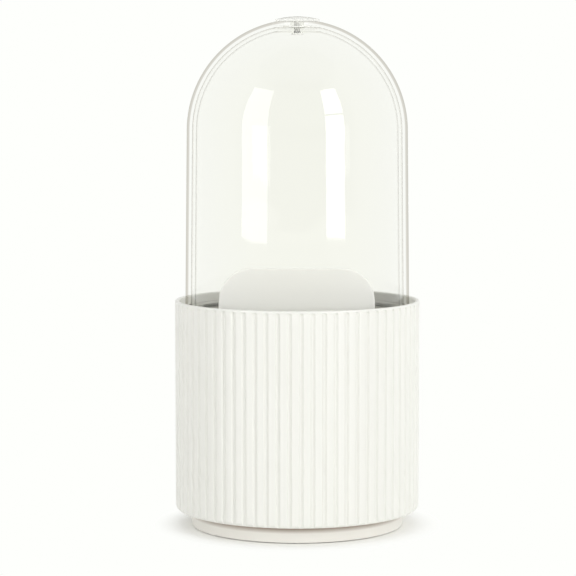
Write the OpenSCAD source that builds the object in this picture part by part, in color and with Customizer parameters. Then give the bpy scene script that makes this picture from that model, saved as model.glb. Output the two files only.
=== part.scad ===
// Rotating makeup organizer with a clear dustproof dome.
// A fluted cup turns on a ball-bearing foot. The dome stands on a ring inside the cup's mouth:
// its rear half is bonded to the ring, and its front half is a door that turns about the knob.
// Millimetres, Z up, the table at z = 0 and the turning axis on Z. The closed door faces -Y.

/* [Cup] */
// Outside diameter of the cup over its flutes
cup_d = 125; // [118:1:140]
// Height of the cup's rim above the table
rim_h = 116; // [100:0.5:135]
// Thickness of the cup's wall at the rim
cup_wall = 2.2; // [2:0.1:3]
// Radius of the rounded top of the rim, on both faces of the wall
lip_r = 0.9; // [0.5:0.1:1]
// Radius of the cup's bottom edge
bottom_r = 2; // [1.5:0.5:4]
// Thickness of the cup's floor over the swivel plate
floor_t = 3.6; // [3.4:0.1:5]
// Running gap between the cup and the foot
cup_gap = 0.5; // [0.3:0.1:1]

/* [Flutes] */
// Number of flutes round the cup
flute_count = 68; // [48:4:72]
// Radius of a flute's hollow
flute_r = 1.2; // [1.2:0.1:2]
// Depth of a flute
flute_depth = 1; // [0.6:0.1:1.2]
// Plain band between the rim and the round ends of the flutes
rim_band = 0.7; // [0.6:0.1:3]

/* [Foot and bearing] */
// Outside diameter of the foot
foot_d = 108.5; // [104:0.5:112]
// Height of the foot's top face above the table
foot_h = 8.4; // [8:0.1:10]
// Thickness of the foot's walls
foot_wall = 2; // [1.6:0.1:2.4]
// Thickness of the foot's deck under the ball race
deck_t = 2.4; // [2.2:0.1:2.8]
// How far the foot's skirt stands off the table on its rubber feet
skirt_lift = 0.4; // [0.3:0.1:1.2]
// Diameter of a rubber foot
pad_d = 8; // [6:0.5:8.5]
// How far inside the swivel plate's edge the bearing balls run
race_inset = 7.6; // [6.6:0.1:9.6]
// Diameter of a bearing ball
ball_d = 4; // [3.8:0.1:4.2]
// Number of bearing balls
ball_count = 16; // [8:4:24]
// Thickness of the swivel plate
plate_t = 2.5; // [2.5:0.1:3]
// Diameter of the hub that the swivel plate turns on
hub_d = 14; // [12:0.5:16]

/* [Dividers] */
// Thickness of the divider plates
divider_t = 2.2; // [1.6:0.1:3]
// How far in front of the axis the front divider stands
divider_y = 16; // [10:1:22]
// Height of the front divider above the rim
divider_rise = 17.5; // [8:0.5:30]
// Width of the front divider's upper part
divider_w = 79; // [60:1:84]
// Radius of the front divider's upper corners
divider_corner = 17; // [6:0.5:17.5]

/* [Dome] */
// Radial gap between the cup's mouth and the dome
dome_gap = 3.05; // [2.6:0.05:3.6]
// Thickness of both clear shells
shell_t = 2; // [1.6:0.1:2.2]
// Gap between the rear shell and the door
shell_gap = 0.8; // [0.7:0.1:1.2]
// Height of the dome's straight side above the rim
side_h = 86.3; // [60:0.5:110]
// How much the straight side narrows towards the top, in radius
side_draft = 1.05; // [0.5:0.05:1.5]
// How far each shell reaches past the middle plane
overlap = 2; // [1:0.5:4]
// How far the flat that the knob sits on lies below the dome's full round
pole_flat = 1.2; // [0.8:0.1:1.4]

/* [Knob] */
// Diameter of the knob
knob_d = 22.5; // [18:0.5:24]
// Height of the knob above the flat it sits on
knob_h = 2.7; // [2.4:0.1:5]
// How far the knob's domed top rises from its edge
knob_crown = 1.5; // [0.8:0.1:2]
// Number of grip notches round the knob
notch_count = 48; // [24:4:48]
// Radius of a grip notch
notch_r = 0.45; // [0.3:0.05:0.45]
// Diameter of the knob's stem
stem_d = 7; // [6:0.5:8]

/* [Hidden] */
$fn = 96;
eps = 0.01;     // overlap between joined shapes
over = 1;       // how far a cutting shape runs past the face it leaves

// Clearances
running_fit = 0.08;   // radial, shaft in bore
slip_fit = 0.3;       // between a moving piece and its seat or guide
screw_fit = 0.05;     // radial, screw in its pilot hole
push_fit = 0.1;       // between pieces pushed together
washer_play = 0.2;    // radial, between a washer and its screw

// Foot, from the table upwards
foot_r = foot_d / 2;
foot_edge = 0.5;                        // chamfer of the foot's top edge
land_w = 7.25;                          // width of the foot's outer top
well_play = 1.4;                        // radial, between the foot's well and the swivel plate
plate_sink = 0.9;                       // how far the swivel plate sits below the foot's top
bearing_gap = 1.5;                      // between the deck and the swivel plate
well_r = foot_r - land_w;
plate_r = well_r - well_play;
plate_z = foot_h - plate_sink;
deck_top = plate_z - bearing_gap;
deck_z = deck_top - deck_t;
collar_w = 3.4;                         // wall round the hub's bore
collar_top = plate_z - slip_fit;
land_t = 2.2;                           // thickness of the foot's outer top
pad_r = pad_d / 2;
pad_sink = 1.2;                         // how far a rubber foot reaches up past the skirt's edge
pad_h = skirt_lift + pad_sink;
pad_wall = 0.8;
pad_ring_r = foot_r - foot_wall / 2 - pad_r - pad_wall;
pad_cup_h = 0.8;                        // depth of the cup that a rubber foot sits in
pad_cup_z = pad_h - pad_cup_h;
pad_cup_top = deck_top - slip_fit;
deck_rib_t = 1.5;
deck_rib_h = 1.2;
deck_rib_count = 8;
deck_rib_gap = 2;                       // between the pivot washer and a rib's inner end
deck_rib_out_r = well_r + foot_wall / 2;

// Ball bearing
ball_r = ball_d / 2;
race_r = plate_r - race_inset;
ball_z = deck_top + bearing_gap / 2;
race_play = 0.05;
cage_t = 1.2;
cage_w = 8;
pocket_play = 0.2;

// Hub and its retaining screw
hub_r = hub_d / 2;
hub_proud = 0.4;                        // how far the hub stands below the deck
hub_z = deck_z - hub_proud;
washer_t = 0.9;
washer_lap = 3.5;                       // how far the washer reaches past the hub
washer_r = hub_r + washer_lap;
washer_z = hub_z - washer_t;
pivot_shank_r = 1.9;
pivot_head_r = 4.2;
pivot_head_h = 1.2;
pilot_over = 0.4;                       // how far a pilot hole runs past its screw's end
recess_d = 2.4;                         // cross recess of the pivot screw, across its arms
recess_w = 0.8;
recess_h = 0.7;

// Screws from the swivel plate into the cup's floor
plate_screw_count = 4;
plate_screw_ring = 24;
plate_screw_r = 1.3;
plate_head_r = 2.7;
plate_head_h = 1.3;
plate_screw_bite = 2.8;

// Cup
cup_r = cup_d / 2;
mouth_r = cup_r - cup_wall;
cup_z = foot_h + cup_gap;
plate_top = plate_z + plate_t;
floor_z = plate_top + floor_t;
pivot_end_z = plate_top - 1.2;          // end of the pivot screw in the plate's hub
seat_play = push_fit;
inner_fillet = 2;
ledge_w = 0.8;                          // ledge under the seat ring
wall_draft = 0.6;                       // how much the cavity narrows down to the floor
flute_pitch = 360 / flute_count;
flute_axis_r = cup_r + flute_r - flute_depth;
flute_half_w = sqrt(flute_r * flute_r - pow(flute_r - flute_depth, 2));
flute_top = rim_h - rim_band - flute_half_w;

// Dome, its ring and the seat ring, from the rim downwards
dome_r = mouth_r - dome_gap;            // rear shell's outside at the ring
dome_top_r = dome_r - side_draft;       // rear shell's outside at the top of the side
dome_z = rim_h + side_h;                // centre of the round top
ring_sink = 3.9;                        // how far the dome ring's outer wall ends below the rim
wall_top = rim_h - ring_sink;
ring_floor_t = 1.2;
channel_h = 2.6;                        // depth of the channel that the door runs in
guide_sink = 0.4;                       // how far the channel's inner wall is lower than the outer
guide_top = wall_top - guide_sink;
channel_z = wall_top - channel_h;
dome_ring_z = channel_z - ring_floor_t;
guide_w = 1.2;                          // inner wall of the channel
door_r = dome_r - shell_t - shell_gap;
door_top_r = dome_top_r - shell_t - shell_gap;
door_z = channel_z + slip_fit;
channel_play = 0.35;                    // radial, between the door and the channel's walls
channel_out_r = door_r + channel_play;
channel_in_r = door_r - shell_t - channel_play;
dome_ring_in_r = channel_in_r - guide_w;
stop_angle = 4;                         // length of the door's stop, in degrees
stop_play = 0.5;
door_edge_angle = asin(overlap / (door_r - shell_t));

seat_top = dome_ring_z - slip_fit;
seat_t = 4;
seat_z = seat_top - seat_t;
seat_lap = 0.2;                         // how far the seat ring reaches inside the dome ring
seat_in_r = dome_ring_in_r - seat_lap;
seat_collar_h = 1.8;
seat_collar_r = dome_r + slip_fit;

// Dividers
divider_base_z = floor_z + push_fit;
shoulder_gap = 1;                       // between the seat ring and the front divider's wide part
shoulder_z = seat_z - shoulder_gap;
shoulder_slope = 3;
rail_t = 1.4;
rail_w = 4;
rail_sink = 0.8;                        // how far a cup rail reaches past the divider's edge
rail_gap = 8;                           // between the seat ring and the top of the cup's rails
rail_top = seat_z - rail_gap;
back_rail_w = 3;
corner_cut = inner_fillet + 0.5;        // clears the fillet between floor and wall
cavity_low_r = mouth_r - ledge_w - wall_draft;
lower_half_w = sqrt(pow(cavity_low_r - slip_fit, 2) - pow(divider_y + divider_t / 2, 2));
web_gap = 4;                            // between the seat ring and the rear divider
web_top = seat_z - web_gap;
web_front = -divider_y + divider_t / 2 + push_fit;
web_play = 0.5;
web_back = cavity_low_r - web_play;

// Knob, pole of the dome and the pivot
knob_r = knob_d / 2;
flat_z = dome_z + dome_top_r - pole_flat;
knob_top = flat_z + knob_h;
cap_z = flat_z + slip_fit;
tab_r = 13;                             // round tab of each shell about the pivot
stem_r = stem_d / 2;
door_flat_z = dome_z + door_top_r - pole_flat;
stem_sink = 0.8;                        // depth of the door's socket for the stem
stem_z = door_flat_z - stem_sink;
flat_w = stem_d * 0.8;                  // across the flats that key the stem to the door
knob_crown_r = (knob_r * knob_r + knob_crown * knob_crown) / (2 * knob_crown);
stem_end_z = knob_top - 0.8;
spacer_play = 0.1;
spacer_t = shell_gap - 2 * spacer_play;
spacer_r = 7.5;
spacer_bore_r = stem_r + 0.25;
spacer_z = door_flat_z + spacer_play;
knob_screw_r = 1.5;
knob_screw_end_z = knob_top - 1.6;
knob_head_r = 3;
knob_head_h = 1;
knob_washer_r = 5;
knob_washer_t = 0.8;
knob_washer_z = door_flat_z - shell_t - knob_washer_t;

// Copies the children round the Z axis, starting at angle start
module around(count, start = 0) {
    for (i = [0 : count - 1]) rotate([0, 0, start + i * 360 / count]) children();
}

// Points of an arc, from angle a0 to a1
function arc(centre, r, a0, a1, steps) =
    [for (i = [0 : steps]) let(a = a0 + (a1 - a0) * i / steps) centre + r * [cos(a), sin(a)]];

// Flat ring between two radii
module ring(r_out, r_in, h) {
    difference() {
        cylinder(r = r_out, h = h);
        translate([0, 0, -over]) cylinder(r = r_in, h = h + 2 * over);
    }
}

// Round head with a shank above it: the head's lowest face is at z = 0
module headed_bar(head_r, head_h, shank_r, length) {
    cylinder(r = head_r, h = head_h);
    translate([0, 0, head_h - eps]) cylinder(r = shank_r, h = length + eps);
}

// Cross recess that a driver fits, cut upwards from z = 0
module cross_recess() {
    for (turn = [0, 90]) rotate([0, 0, turn])
        translate([-recess_d / 2, -recess_w / 2, -over]) cube([recess_d, recess_w, recess_h + over]);
}

// ---- Foot ----

// Section of the foot: skirt, outer top, well and bored deck
module foot_section() {
    polygon([
        [hub_r + running_fit, deck_z], [well_r + foot_wall, deck_z],
        [well_r + foot_wall, foot_h - land_t], [foot_r - foot_wall, foot_h - land_t],
        [foot_r - foot_wall, skirt_lift], [foot_r, skirt_lift],
        [foot_r, foot_h - foot_edge], [foot_r - foot_edge, foot_h],
        [well_r, foot_h], [well_r, deck_top],
        [hub_r + collar_w, deck_top], [hub_r + collar_w, collar_top],
        [hub_r + running_fit, collar_top]
    ]);
}

module base_foot() {
    color("#e6e4de") difference() {
        union() {
            rotate_extrude() foot_section();
            around(4, 45) translate([pad_ring_r, 0, pad_cup_z])
                cylinder(r = pad_r + pad_wall, h = pad_cup_top - pad_cup_z);
            // stiffening ribs under the deck
            around(deck_rib_count)
                translate([washer_r + deck_rib_gap, -deck_rib_t / 2, deck_z - deck_rib_h])
                    cube([deck_rib_out_r - washer_r - deck_rib_gap, deck_rib_t, deck_rib_h + eps]);
        }
        // lower half of the ball race
        rotate_extrude() translate([race_r, ball_z]) circle(ball_r + race_play);
        around(4, 45) translate([pad_ring_r, 0, -over]) cylinder(r = pad_r + push_fit, h = pad_h + over);
    }
}

module rubber_feet() {
    color("#55524d") around(4, 45) translate([pad_ring_r, 0, 0]) cylinder(r = pad_r, h = pad_h);
}

// ---- Ball bearing ----

module bearing_balls() {
    color("#c2c4c6") around(ball_count) translate([race_r, 0, ball_z]) sphere(ball_r);
}

module ball_cage() {
    color("#efece2") translate([0, 0, ball_z - cage_t / 2]) difference() {
        ring(race_r + cage_w / 2, race_r - cage_w / 2, cage_t);
        around(ball_count) translate([race_r, 0, -over])
            cylinder(r = ball_r + pocket_play, h = cage_t + 2 * over);
    }
}

// ---- Cup ----

// Section of the cup's outside, with a rounded bottom edge and lip
module cup_outside() {
    polygon(concat(
        [[0, cup_z]],
        arc([cup_r - bottom_r, cup_z + bottom_r], bottom_r, -90, 0, 6),
        arc([cup_r - lip_r, rim_h - lip_r], lip_r, 0, 90, 5),
        arc([mouth_r + lip_r, rim_h - lip_r], lip_r, 90, 180, 5),
        [[mouth_r, seat_z], [0, seat_z]]
    ));
}

// Section of the cup's hollow below the seat ring
module cup_hollow() {
    polygon(concat(
        [[0, floor_z]],
        arc([cavity_low_r - inner_fillet, floor_z + inner_fillet], inner_fillet, -90, 0, 5),
        [[mouth_r - ledge_w, seat_z], [mouth_r - ledge_w, seat_z + over], [0, seat_z + over]]
    ));
}

// One flute's hollow: a bullet shape that ends round under the rim
module flute() {
    translate([flute_axis_r, 0, cup_z - over])
        cylinder(r = flute_r, h = flute_top - cup_z + over, $fn = 32);
    translate([flute_axis_r, 0, flute_top]) sphere(flute_r, $fn = 32);
}

// Pair of upright rails that hold the edge of a divider of thickness t, on the +X wall
module rails(t, wall_r) {
    for (side = [-1, 1])
        translate([wall_r - rail_w, side * (t / 2 + push_fit + rail_t / 2) - rail_t / 2, floor_z - eps])
            cube([rail_w + over, rail_t, rail_top - floor_z]);
}

module cup_body() {
    color("#f3f2ec") difference() {
        union() {
            rotate_extrude() difference() {
                cup_outside();
                cup_hollow();
            }
            intersection() {
                translate([0, 0, floor_z - over]) cylinder(r = mouth_r, h = rail_top);
                union() {
                    for (side = [-1, 1]) translate([0, -divider_y, 0]) rotate([0, 0, 90 - 90 * side])
                        rails(divider_t, lower_half_w + rail_sink);
                    rotate([0, 0, 90]) rails(divider_t, web_back + rail_sink);
                }
            }
        }
        around(flute_count, flute_pitch / 2) flute();
        // recess that the swivel plate sits in, and its screws' pilot holes
        translate([0, 0, cup_z - over]) cylinder(r = plate_r + push_fit, h = plate_top - cup_z + over);
        around(plate_screw_count, 45) translate([plate_screw_ring, 0, plate_top - over])
            cylinder(r = plate_screw_r + screw_fit, h = over + plate_screw_bite + pilot_over);
    }
}

module swivel_plate() {
    color("#dcdad3") difference() {
        union() {
            translate([0, 0, plate_z]) cylinder(r = plate_r, h = plate_t);
            translate([0, 0, hub_z]) cylinder(r = hub_r, h = plate_z - hub_z + over);
        }
        // upper half of the ball race
        rotate_extrude() translate([race_r, ball_z]) circle(ball_r + 2 * race_play);
        translate([0, 0, hub_z - over])
            cylinder(r = pivot_shank_r + screw_fit, h = over + pivot_end_z + pilot_over - hub_z);
        around(plate_screw_count, 45) translate([plate_screw_ring, 0, plate_z - over]) {
            cylinder(r = plate_screw_r + push_fit, h = plate_t + 2 * over);
            cylinder(r = plate_head_r + push_fit, h = plate_head_h + over);
        }
    }
}

module plate_screws() {
    color("#b9bcbf") around(plate_screw_count, 45) translate([plate_screw_ring, 0, plate_z])
        difference() {
            headed_bar(plate_head_r, plate_head_h, plate_screw_r,
                       plate_t - plate_head_h + plate_screw_bite);
            cross_recess();
        }
}

module pivot_washer() {
    color("#c5c7c9") translate([0, 0, washer_z])
        ring(washer_r, pivot_shank_r + washer_play, washer_t);
}

module pivot_screw() {
    color("#b9bcbf") translate([0, 0, washer_z - pivot_head_h]) difference() {
        headed_bar(pivot_head_r, pivot_head_h, pivot_shank_r, pivot_end_z - washer_z);
        cross_recess();
    }
}

// ---- Dividers and seat ring ----

// Outline of the front divider, seen from the front
module front_divider_outline() {
    low = divider_base_z;
    top = rim_h + divider_rise;
    half_w = divider_w / 2;
    polygon(concat(
        [[lower_half_w - corner_cut, low], [lower_half_w, low + corner_cut],
         [lower_half_w, shoulder_z - shoulder_slope], [lower_half_w - shoulder_slope, shoulder_z],
         [half_w, shoulder_z]],
        arc([half_w - divider_corner, top - divider_corner], divider_corner, 0, 90, 12),
        arc([divider_corner - half_w, top - divider_corner], divider_corner, 90, 180, 12),
        [[-half_w, shoulder_z], [shoulder_slope - lower_half_w, shoulder_z],
         [-lower_half_w, shoulder_z - shoulder_slope], [-lower_half_w, low + corner_cut],
         [corner_cut - lower_half_w, low]]
    ));
}

module front_divider() {
    color("#f1f0ea") {
        translate([0, divider_t / 2 - divider_y, 0]) rotate([90, 0, 0])
            linear_extrude(divider_t) front_divider_outline();
        // rails on the back that hold the rear divider's front edge
        for (side = [-1, 1])
            translate([side * (divider_t / 2 + push_fit + rail_t / 2) - rail_t / 2,
                       divider_t / 2 - divider_y - eps, divider_base_z])
                cube([rail_t, back_rail_w, web_top - divider_base_z]);
    }
}

module rear_divider() {
    color("#f1f0ea") translate([-divider_t / 2, web_front, divider_base_z]) difference() {
        cube([divider_t, web_back - web_front, web_top - divider_base_z]);
        translate([-over, web_back - web_front, 0]) rotate([45, 0, 0])
            translate([0, -corner_cut, -corner_cut])
                cube([divider_t + 2 * over, 2 * corner_cut, 2 * corner_cut]);
    }
}

module seat_ring() {
    color("#edebe4") rotate_extrude() polygon([
        [seat_in_r, seat_z], [mouth_r - seat_play, seat_z],
        [mouth_r - seat_play, seat_top + seat_collar_h], [seat_collar_r, seat_top + seat_collar_h],
        [seat_collar_r, seat_top], [seat_in_r, seat_top]
    ]);
}

// ---- Dome ----

// Solid of revolution under a dome: a tapered side and a half ball with a flat on top
module dome_form(r_low, r_top, z_low) {
    rotate_extrude() {
        polygon([[0, z_low], [r_low, z_low], [r_top, dome_z], [0, dome_z]]);
        intersection() {
            translate([0, dome_z]) circle(r_top);
            translate([0, dome_z]) square([r_top + over, r_top - pole_flat]);
        }
    }
}

// Whole shell of a dome, open at the bottom
module dome_wall(r_low, r_top, z_low) {
    difference() {
        dome_form(r_low, r_top, z_low);
        // the inside runs on below the edge with the same taper
        taper = (r_low - r_top) * over / (dome_z - z_low);
        dome_form(r_low - shell_t + taper, r_top - shell_t, z_low - over);
    }
}

// Space on one side of the middle plane, with a round tab about the pivot
module half_space(side) {
    reach = 2 * cup_r;
    translate([-reach, side > 0 ? -overlap : overlap - reach, 0])
        cube([2 * reach, reach, flat_z + over]);
    translate([0, 0, dome_z + dome_top_r / 2]) cylinder(r = tab_r, h = dome_top_r);
}

module dome_ring() {
    color("#eef1f0", 0.5) {
        rotate_extrude() polygon([
            [dome_ring_in_r, dome_ring_z], [dome_r, dome_ring_z], [dome_r, wall_top],
            [channel_out_r, wall_top], [channel_out_r, channel_z], [channel_in_r, channel_z],
            [channel_in_r, guide_top], [dome_ring_in_r, guide_top]
        ]);
        // stop that the door's edge meets at both ends of its travel
        rotate([0, 0, 180 - door_edge_angle - stop_play - stop_angle]) rotate_extrude(angle = stop_angle)
            translate([channel_in_r - eps, channel_z - eps])
                square([channel_out_r - channel_in_r + 2 * eps, guide_top - channel_z + eps]);
    }
}

module rear_shell() {
    color("#f4f7f6", 0.35) difference() {
        intersection() {
            dome_wall(dome_r, dome_top_r, wall_top);
            half_space(1);
        }
        translate([0, 0, flat_z - 2 * shell_t]) cylinder(r = stem_r + running_fit, h = 3 * shell_t);
    }
}

module pivot_spacer() {
    color("#e9e6dc") translate([0, 0, spacer_z]) ring(spacer_r, spacer_bore_r, spacer_t);
}

// ---- Door and knob ----

// Stem section: a round bar with two flats
module keyed_bar(r, w, h) {
    intersection() {
        cylinder(r = r, h = h);
        translate([-w / 2, -r - over, -over]) cube([w, 2 * (r + over), h + 2 * over]);
    }
}

module door_shell() {
    color("#f4f7f6", 0.35) difference() {
        intersection() {
            dome_wall(door_r, door_top_r, door_z);
            half_space(-1);
        }
        // keyed socket for the knob's stem, and its screw's hole
        translate([0, 0, stem_z]) keyed_bar(stem_r + push_fit, flat_w + 2 * push_fit, shell_t);
        translate([0, 0, door_flat_z - 2 * shell_t])
            cylinder(r = knob_screw_r + push_fit, h = 3 * shell_t);
    }
}

module knob() {
    color("#f2f4f3", 0.6) difference() {
        union() {
            // cap with a domed top and grip notches
            difference() {
                intersection() {
                    translate([0, 0, cap_z]) cylinder(r = knob_r, h = knob_h);
                    translate([0, 0, knob_top - knob_crown_r]) sphere(knob_crown_r);
                }
                around(notch_count) translate([knob_r, 0, cap_z - over])
                    cylinder(r = notch_r, h = knob_h + 2 * over, $fn = 24);
            }
            translate([0, 0, door_flat_z]) cylinder(r = stem_r, h = stem_end_z - door_flat_z);
            translate([0, 0, stem_z]) keyed_bar(stem_r, flat_w, 2 * stem_sink);
        }
        translate([0, 0, stem_z - over])
            cylinder(r = knob_screw_r + screw_fit, h = over + knob_screw_end_z + pilot_over - stem_z);
    }
}

// Clear washer and screw that hold the knob to the door from inside
module knob_washer() {
    color("#f2f4f3", 0.5) translate([0, 0, knob_washer_z])
        ring(knob_washer_r, knob_screw_r + washer_play, knob_washer_t);
}

module knob_screw() {
    color("#f2f4f3", 0.6) translate([0, 0, knob_washer_z - knob_head_h]) difference() {
        headed_bar(knob_head_r, knob_head_h, knob_screw_r, knob_screw_end_z - knob_washer_z);
        cross_recess();
    }
}

base_foot();
rubber_feet();
bearing_balls();
ball_cage();
cup_body();
swivel_plate();
plate_screws();
pivot_washer();
pivot_screw();
front_divider();
rear_divider();
seat_ring();
dome_ring();
rear_shell();
pivot_spacer();
door_shell();
knob();
knob_washer();
knob_screw();
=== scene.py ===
# Rotating makeup organizer with a clear dustproof dome, dressed over its CAD frame.
# Metres, Z up, the table at z = 0, the turning axis on Z. The closed door faces -Y.
import math
import bmesh
import bpy
from mathutils import Matrix, Vector


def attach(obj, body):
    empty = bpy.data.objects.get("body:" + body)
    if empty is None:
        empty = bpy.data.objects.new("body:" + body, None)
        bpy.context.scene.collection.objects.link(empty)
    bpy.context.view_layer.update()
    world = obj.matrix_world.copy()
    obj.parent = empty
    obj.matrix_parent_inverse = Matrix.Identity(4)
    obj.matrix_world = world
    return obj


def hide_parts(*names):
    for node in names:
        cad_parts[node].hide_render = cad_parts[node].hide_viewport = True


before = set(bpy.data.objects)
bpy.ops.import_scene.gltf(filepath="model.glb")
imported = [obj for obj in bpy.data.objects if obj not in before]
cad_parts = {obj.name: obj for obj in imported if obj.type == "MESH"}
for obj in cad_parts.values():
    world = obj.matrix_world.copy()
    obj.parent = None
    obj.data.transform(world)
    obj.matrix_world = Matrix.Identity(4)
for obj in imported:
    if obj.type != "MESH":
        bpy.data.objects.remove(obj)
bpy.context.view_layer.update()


# ---- Foot ----
# A round pan of white ABS, injection moulded, with a skirt, a well for the ball race and ribs
# under its deck. Four rubber feet are pressed into cups behind the skirt.

# sizes are written in millimetres, and round pieces are built from like sectors
MM, SECTORS = 0.001, 16


def linear(code):
    """Linear RGBA of an sRGB hex colour."""
    parts = [int(code[i:i + 2], 16) / 255 for i in (0, 2, 4)]
    return [c / 12.92 if c <= 0.04045 else ((c + 0.055) / 1.055) ** 2.4 for c in parts] + [1.0]


def add_node(owner, kind, inputs=None, **settings):
    """Adds a shader node with its settings; its inputs are plain values or other sockets."""
    made = owner.node_tree.nodes.new("ShaderNode" + kind)
    for name, value in settings.items():
        setattr(made, name, value)
    for socket, value in (inputs or {}).items():
        if isinstance(value, bpy.types.NodeSocket):
            owner.node_tree.links.new(value, made.inputs[socket])
        else:
            made.inputs[socket].default_value = value
    return made


def new_material(name):
    """A material with an empty node tree."""
    made = bpy.data.materials.new(name)
    made.use_nodes = True
    made.node_tree.nodes.clear()
    return made


def moulded_abs(name, clear_tone, cloudy_tone, painted_shade_z=None):
    """White ABS from a finely eroded steel mould: an even satin skin, a faint clouding of the
    resin, and a grain so fine that it only softens the highlights. A greyish brown painted shade
    darkens it between two heights, in mm, given as the last argument."""
    made = new_material(name)
    place = add_node(made, "TexCoord").outputs["Object"]
    cloud = add_node(made, "TexNoise", {"Vector": place, "Scale": 1 / (22 * MM), "Detail": 2.0})
    tone = add_node(made, "Mix", data_type="RGBA")
    made.node_tree.links.new(cloud.outputs["Fac"], tone.inputs[0])
    tone.inputs[6].default_value, tone.inputs[7].default_value = clear_tone, cloudy_tone
    sheen = add_node(made, "MapRange", {"Value": cloud.outputs["Fac"], "From Min": 0.3,
                                        "From Max": 0.7, "To Min": 0.36, "To Max": 0.44})
    # the real grain is about 0.05 mm; it is drawn at 0.7 mm so that it shows at all
    grain = add_node(made, "TexNoise", {"Vector": place, "Scale": 1 / (0.7 * MM), "Detail": 3.0})
    skin = add_node(made, "Bump", {"Height": grain.outputs["Fac"], "Strength": 0.35,
                                   "Distance": 0.01 * MM})
    # painted shade: between two heights the colour darkens towards a greyish brown, in place of the shade
    # under an overhang
    if painted_shade_z:
        height = add_node(made, "SeparateXYZ", {"Vector": place}).outputs["Z"]
        dust_and_painted_shade = add_node(made, "MapRange", {"Value": height, "From Min": painted_shade_z[0] * MM,
                                           "From Max": painted_shade_z[1] * MM})
        unshaded_tone, tone = tone, add_node(made, "Mix", data_type="RGBA")
        made.node_tree.links.new(dust_and_painted_shade.outputs["Result"], tone.inputs[0])
        made.node_tree.links.new(unshaded_tone.outputs[2], tone.inputs[6])
        # the greyish brown of the painted shade
        tone.inputs[7].default_value = linear("a08f83")
    plastic = add_node(made, "BsdfPrincipled", {
        "Base Color": tone.outputs[2], "Roughness": sheen.outputs["Result"],
        "Normal": skin.outputs["Normal"], "IOR": 1.53})
    add_node(made, "OutputMaterial", {"Surface": plastic.outputs["BSDF"]})
    return made


def outline(bm, points):
    """Draws a closed outline in the XZ plane from (radius, height, corner rounding) in mm."""
    corners = [bm.verts.new((r * MM, 0, z * MM)) for r, z, _ in points]
    bm.faces.new(corners)
    for corner, (_, _, rounding) in zip(corners, points):
        if rounding:
            bmesh.ops.bevel(bm, geom=[corner], affect="VERTICES", offset=rounding * MM,
                            segments=3 if rounding < 0.5 else 6, profile=0.5, material=-1)


def turned_part(points, angle, steps):
    """An outline turned part of the way about the Z axis."""
    bm = bmesh.new()
    outline(bm, points)
    bmesh.ops.delete(bm, geom=bm.faces[:], context="FACES_ONLY")
    on_axis = [e for e in bm.edges if all(abs(v.co.x) < 1e-7 for v in e.verts)]
    bmesh.ops.delete(bm, geom=on_axis, context="EDGES")
    bmesh.ops.spin(bm, geom=bm.verts[:] + bm.edges[:], cent=(0, 0, 0), axis=(0, 0, 1),
                   angle=angle, steps=steps)
    return bm


def all_round(bm, count):
    """Repeats a turned part until it closes on itself, and joins the copies to one skin."""
    bmesh.ops.spin(bm, geom=bm.verts[:] + bm.edges[:] + bm.faces[:], cent=(0, 0, 0), axis=(0, 0, 1),
                   angle=math.tau * (count - 1) / count, steps=count - 1, use_duplicate=True)
    bmesh.ops.remove_doubles(bm, verts=bm.verts, dist=1e-6)
    bmesh.ops.recalc_face_normals(bm, faces=bm.faces)
    return bm


def turned(points, steps):
    """A closed solid made by turning an outline about the Z axis, with steps facets all round."""
    return all_round(turned_part(points, math.tau / SECTORS, steps // SECTORS), SECTORS)


def add_bar(bm, low, high, edge):
    """Adds a bar between two corners in mm, its edges rounded, and returns its vertices."""
    bar = bmesh.ops.create_cube(bm, size=1.0)["verts"]
    bmesh.ops.scale(bm, verts=bar, vec=[(h - l) * MM for l, h in zip(low, high)])
    bmesh.ops.translate(bm, verts=bar, vec=[(h + l) / 2 * MM for l, h in zip(low, high)])
    sides = list({e for v in bar for e in v.link_edges})
    made = bmesh.ops.bevel(bm, geom=sides, affect="EDGES", offset=edge * MM, segments=2,
                           profile=0.5, material=-1)
    return list({v for f in made["faces"] for v in f.verts})


def add_part(bm, other):
    """Moves another bmesh's solid into this one."""
    mesh = bpy.data.meshes.new("part")
    other.to_mesh(mesh)
    other.free()
    bm.from_mesh(mesh)
    bpy.data.meshes.remove(mesh)


def piece(name, bm, material, crease=35):
    """Makes the object of a finished bmesh, smooth where its faces meet at less than crease."""
    mesh = bpy.data.meshes.new(name)
    bm.to_mesh(mesh)
    bm.free()
    mesh.shade_smooth()
    mesh.set_sharp_from_angle(angle=math.radians(crease))
    for finish in material if isinstance(material, list) else [material]:
        mesh.materials.append(finish)
    made = bpy.data.objects.new(name, mesh)
    bpy.context.scene.collection.objects.link(made)
    return made


def paint(node, material):
    """Gives a carried-over CAD node its finish."""
    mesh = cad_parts[node].data
    mesh.materials.clear()
    mesh.materials.append(material)


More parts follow.
